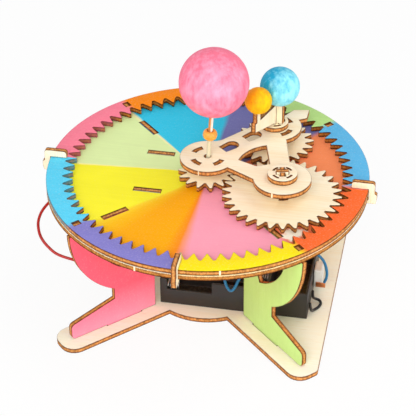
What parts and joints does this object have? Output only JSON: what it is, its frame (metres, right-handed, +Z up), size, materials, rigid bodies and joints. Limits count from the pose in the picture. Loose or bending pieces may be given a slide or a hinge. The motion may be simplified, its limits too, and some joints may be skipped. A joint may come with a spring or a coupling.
{
  "type": "earth orbit model",
  "caption": "Laser-cut plywood sun, earth and moon model: a motor under a round table turns a planetary gear train with a carrier arm inside a fixed toothed ring.",
  "frame": {"origin": "middle of the base plate's underside, on the gear train's main axis", "axes": "+Z up along the sun's axis, -Y towards the picture's front, +X towards the side with the battery tray's wiring bay; the legs stand on the diagonals"},
  "size_m": [0.1846, 0.1846, 0.1532],
  "materials": {
    "bare_ply": "bare laser-cut plywood, burnt edges",
    "table_paint": "hand-painted plywood, eight colour sectors",
    "ring_paint": "hand-painted plywood, eight colour sectors",
    "pink_paint": "matt pink paint on plywood",
    "green_paint": "matt green paint on plywood",
    "yellow_paint": "matt yellow paint on plywood",
    "blue_paint": "matt blue paint on plywood",
    "sun_foam": "painted foam",
    "earth_foam": "painted foam",
    "moon_foam": "painted foam",
    "black_plastic": "moulded, lightly textured",
    "white_plastic": "moulded",
    "yellow_plastic": "moulded",
    "orange_rubber": "moulded, satin",
    "clear_tube": "cut from pale tube",
    "bamboo": "plain turned stick",
    "steel": "bright plated steel",
    "copper": "bright copper strip",
    "red_lead": "satin insulation",
    "blue_lead": "satin insulation",
    "black_lead": "satin insulation"
  },
  "bodies": {
    "stand": {"base_plate": "bare_ply", "leg_front_left": "pink_paint", "leg_front_right": "green_paint", "leg_back_right": "yellow_paint", "leg_back_left": "blue_paint", "orbit_table": "table_paint", "toothed_ring": "ring_paint", "rim_clip_front": "bare_ply", "rim_clip_right": "bare_ply", "rim_clip_back": "bare_ply", "rim_clip_left": "bare_ply", "battery_tray": "black_plastic", "contact_spring_1": "steel", "contact_spring_2": "steel", "contact_spring_3": "steel", "contact_plate_left_1": "steel", "contact_plate_left_2": "steel", "contact_plate_left_3": "steel", "contact_plate_right_1": "steel", "contact_plate_right_2": "steel", "contact_plate_right_3": "steel", "terminal_block": "white_plastic", "terminal_lug": "copper", "motor_bracket_front": "bare_ply", "motor_bracket_back": "bare_ply", "gear_housing": "yellow_plastic", "gear_housing_lid": "yellow_plastic", "motor_screw_1": "steel", "motor_screw_2": "steel", "motor_screw_3": "steel", "motor_screw_4": "steel", "motor_can": "steel", "motor_end_cap": "white_plastic", "motor_terminal_1": "copper", "motor_terminal_2": "copper", "red_lead": "red_lead", "blue_lead": "blue_lead", "black_lead": "black_lead"},
    "sun_drive": {"drive_shaft": "steel", "sun_gear": "bare_ply", "shaft_sleeve": "clear_tube", "sun_stick": "bamboo", "stick_collar": "orange_rubber", "sun_ball": "sun_foam"},
    "orbit_arm": {"carrier_arm": "bare_ply"},
    "planet": {"planet_gear": "bare_ply", "planet_axle_a": "bare_ply", "planet_axle_b": "bare_ply", "planet_washer": "bare_ply"},
    "earth_moon": {"earth_gear": "bare_ply", "earth_hub": "bare_ply", "moon_arm": "bare_ply", "earth_post": "bare_ply", "earth_ball": "earth_foam", "moon_ball": "moon_foam"}
  },
  "joints": [
    {"name": "arm_orbit", "type": "hinge", "parent": "stand", "child": "orbit_arm", "pos_m": [0, 0, 0.0867], "axis": [0, 0, 1], "continuous": true},
    {"name": "sun_spin", "type": "hinge", "parent": "stand", "child": "sun_drive", "pos_m": [0, 0, 0.0768], "axis": [0, 0, 1], "continuous": true},
    {"name": "planet_spin", "type": "hinge", "parent": "orbit_arm", "child": "planet", "pos_m": [0.04267, -0.01297, 0.0768], "axis": [0, 0, 1], "continuous": true},
    {"name": "earth_spin", "type": "hinge", "parent": "orbit_arm", "child": "earth_moon", "pos_m": [0.0308, 0.03601, 0.0768], "axis": [0, 0, 1], "continuous": true}
  ],
  "couplings": [
    {"joint": "sun_spin", "follows": "arm_orbit", "ratio": 5.8571},
    {"joint": "planet_spin", "follows": "arm_orbit", "ratio": -2.2667},
    {"joint": "earth_spin", "follows": "arm_orbit", "ratio": 3.4}
  ]
}
